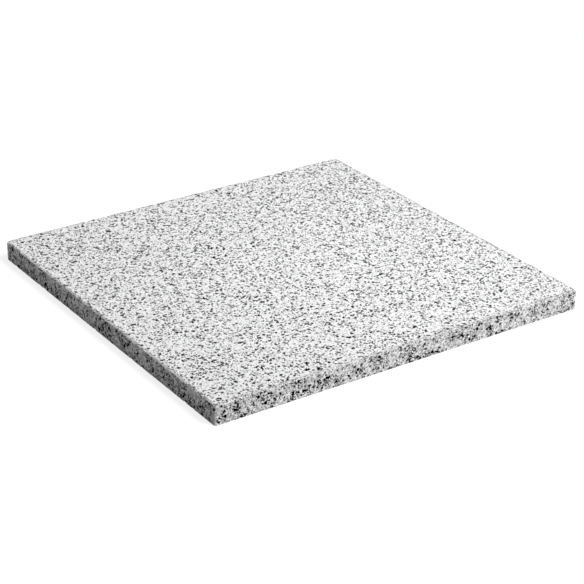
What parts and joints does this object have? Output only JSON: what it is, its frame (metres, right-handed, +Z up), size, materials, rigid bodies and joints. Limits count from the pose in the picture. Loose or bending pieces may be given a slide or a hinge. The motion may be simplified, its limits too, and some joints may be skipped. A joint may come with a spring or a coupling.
{
  "type": "granite paving slab",
  "caption": "Square granite paving slab with a rough-textured walking face, sawn sides and a flat sawn bed face; it lies flat on a bed of mortar, grit or pedestals.",
  "frame": {"origin": "middle of the bed face, the flat underside that the slab lies on", "axes": "+Z up through the thickness, out of the walking face; X and Y lie along the sides"},
  "size_m": [0.6, 0.6, 0.03],
  "materials": {
    "granite": "rough grey-white granite, flamed on top and sawn on the sides and bed"
  },
  "bodies": {
    "root": {"slab": "granite"}
  },
  "joints": []
}
